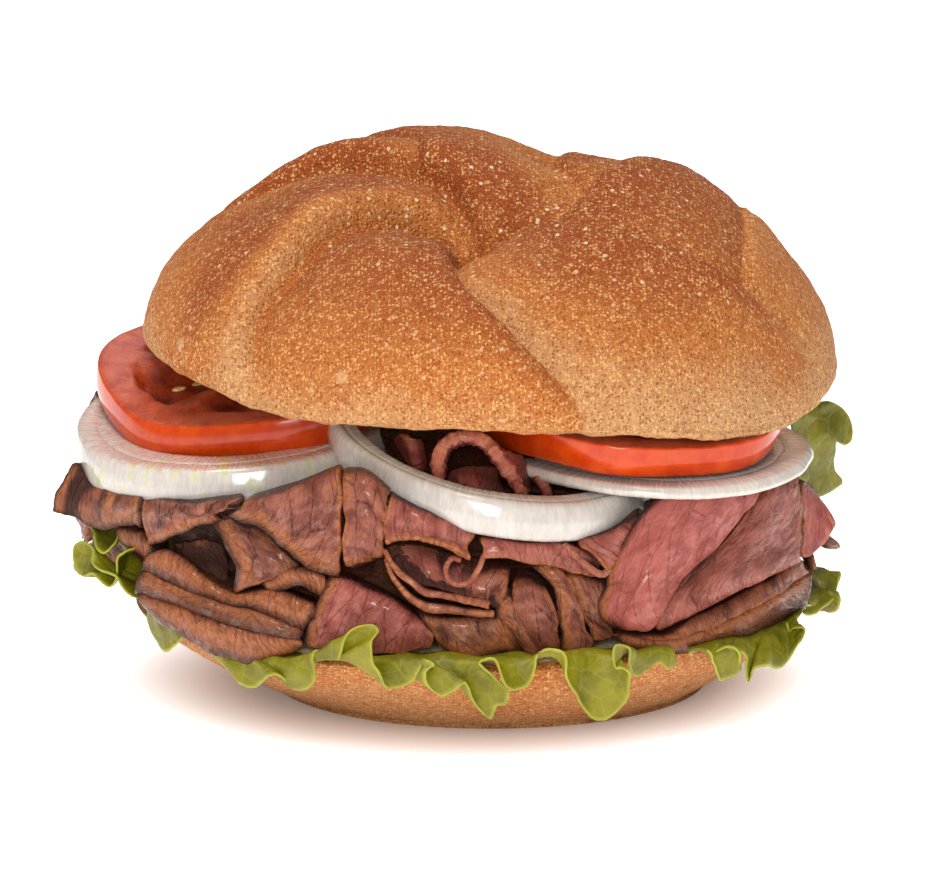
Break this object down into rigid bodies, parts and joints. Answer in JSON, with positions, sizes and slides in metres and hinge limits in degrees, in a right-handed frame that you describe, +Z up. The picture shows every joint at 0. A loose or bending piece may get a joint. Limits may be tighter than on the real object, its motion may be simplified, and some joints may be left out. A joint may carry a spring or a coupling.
{
  "type": "roast beef sandwich",
  "caption": "Sandwich on a domed, knotted bread roll, with folded slices of roast beef, onion rings, tomato slices and frilled lettuce, resting on the roll's flat base",
  "frame": {"origin": "the middle of the flat spot on which the roll's heel rests", "axes": "+X to the right as seen from the front, -Y to the front, +Z up"},
  "size_m": [0.1383, 0.1263, 0.0929],
  "materials": {
    "crust": "golden brown baked crust, slightly satin",
    "beef": "moist grey-pink meat with browned edges",
    "onion": "wet translucent white",
    "tomato": "wet red skin and cut face",
    "lettuce": "fresh satin leaf"
  },
  "bodies": {
    "root": {"crown": "crust", "heel": "crust", "lettuce_back": "lettuce", "lettuce_front": "lettuce", "lettuce_front_left": "lettuce", "lettuce_left": "lettuce", "lettuce_right": "lettuce", "lettuce_upper": "lettuce", "onion_back": "onion", "onion_left": "onion", "onion_middle": "onion", "onion_right": "onion", "roast_beef": "beef", "tomato_back": "tomato", "tomato_left": "tomato", "tomato_right": "tomato"}
  },
  "joints": []
}
